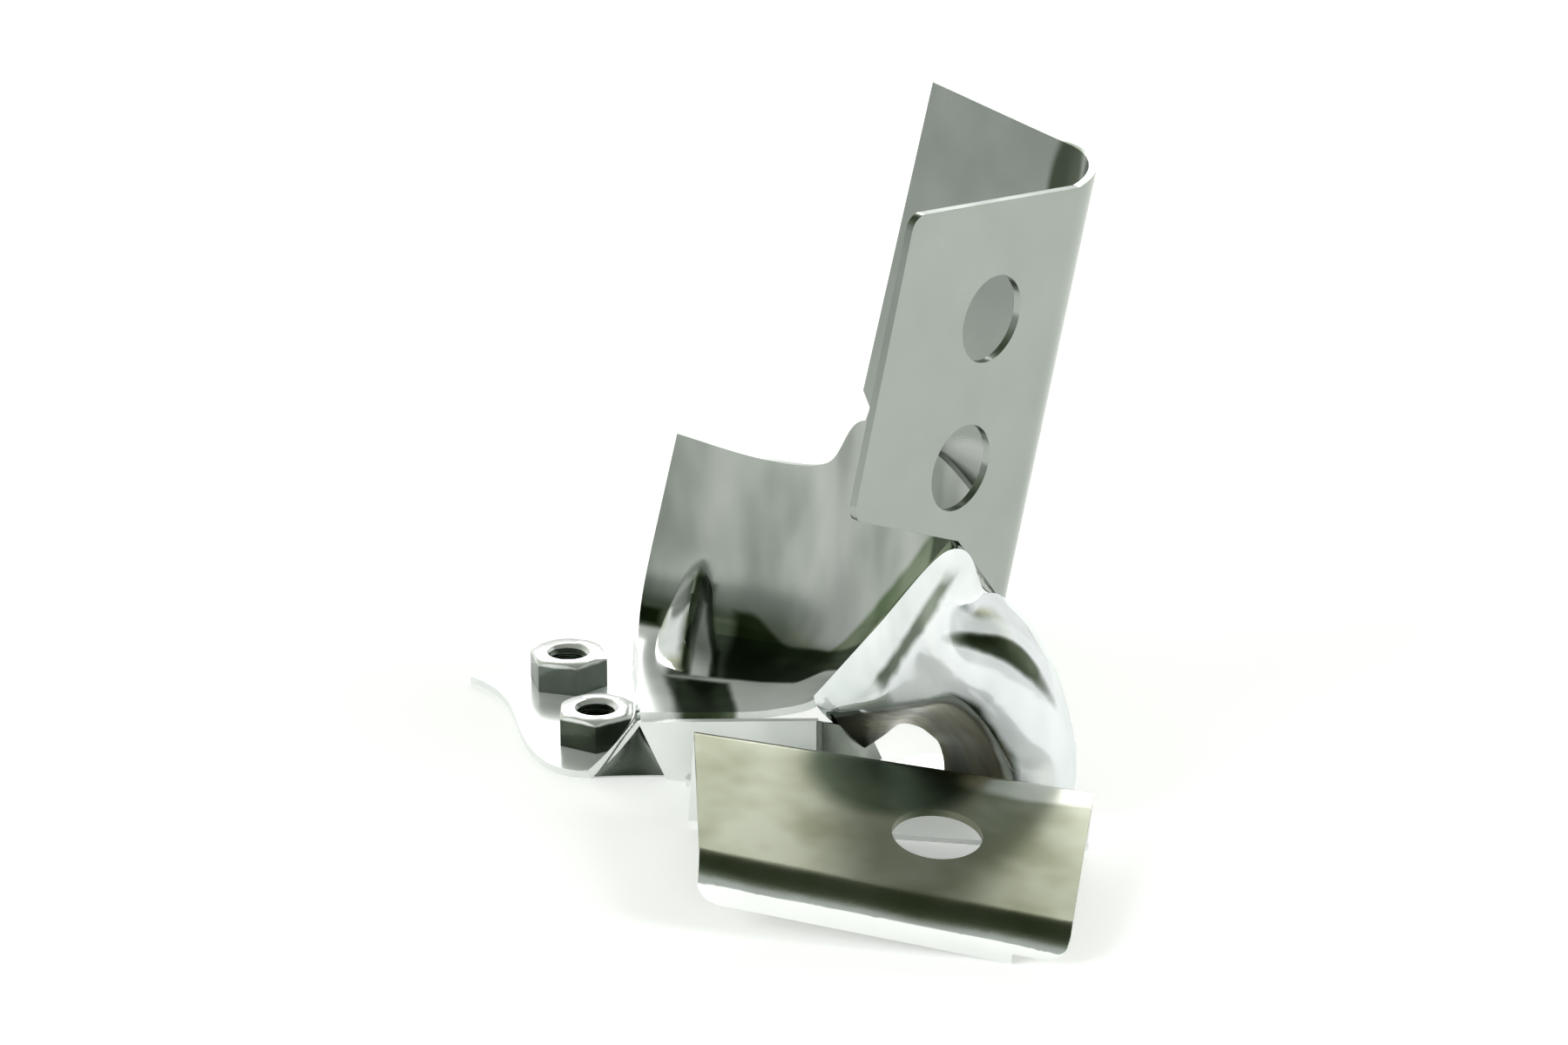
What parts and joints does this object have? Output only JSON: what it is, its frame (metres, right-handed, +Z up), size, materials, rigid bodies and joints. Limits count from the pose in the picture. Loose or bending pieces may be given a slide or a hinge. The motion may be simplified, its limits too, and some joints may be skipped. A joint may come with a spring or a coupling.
{
  "type": "fender bracket",
  "caption": "Welded sheet-metal fender bracket: drilled upright angle, drilled lower flange, curved saddle, arched hood and weld nuts on a foot plate.",
  "frame": {"origin": "centre of the bounding box, on the floor plane that the foot rests on", "axes": "+Z up; +X from the nut plate towards the upright angle; -Y towards the lower flange's lip"},
  "size_m": [0.1204, 0.1464, 0.1281],
  "materials": {
    "bright_plate": "mirror bright nickel-chrome plate",
    "satin_plate": "satin nickel-chrome plate, lightly brushed",
    "nut_plate_finish": "dark bright plate",
    "plated_weld": "plated weld metal"
  },
  "bodies": {
    "root": {"nut_plate": "bright_plate", "saddle": "bright_plate", "hood": "bright_plate", "sole": "bright_plate", "upper_angle": "satin_plate", "lower_flange": "satin_plate", "weld_nut_front": "nut_plate_finish", "weld_nut_rear": "nut_plate_finish", "hood_weld": "plated_weld", "saddle_weld": "plated_weld"}
  },
  "joints": []
}
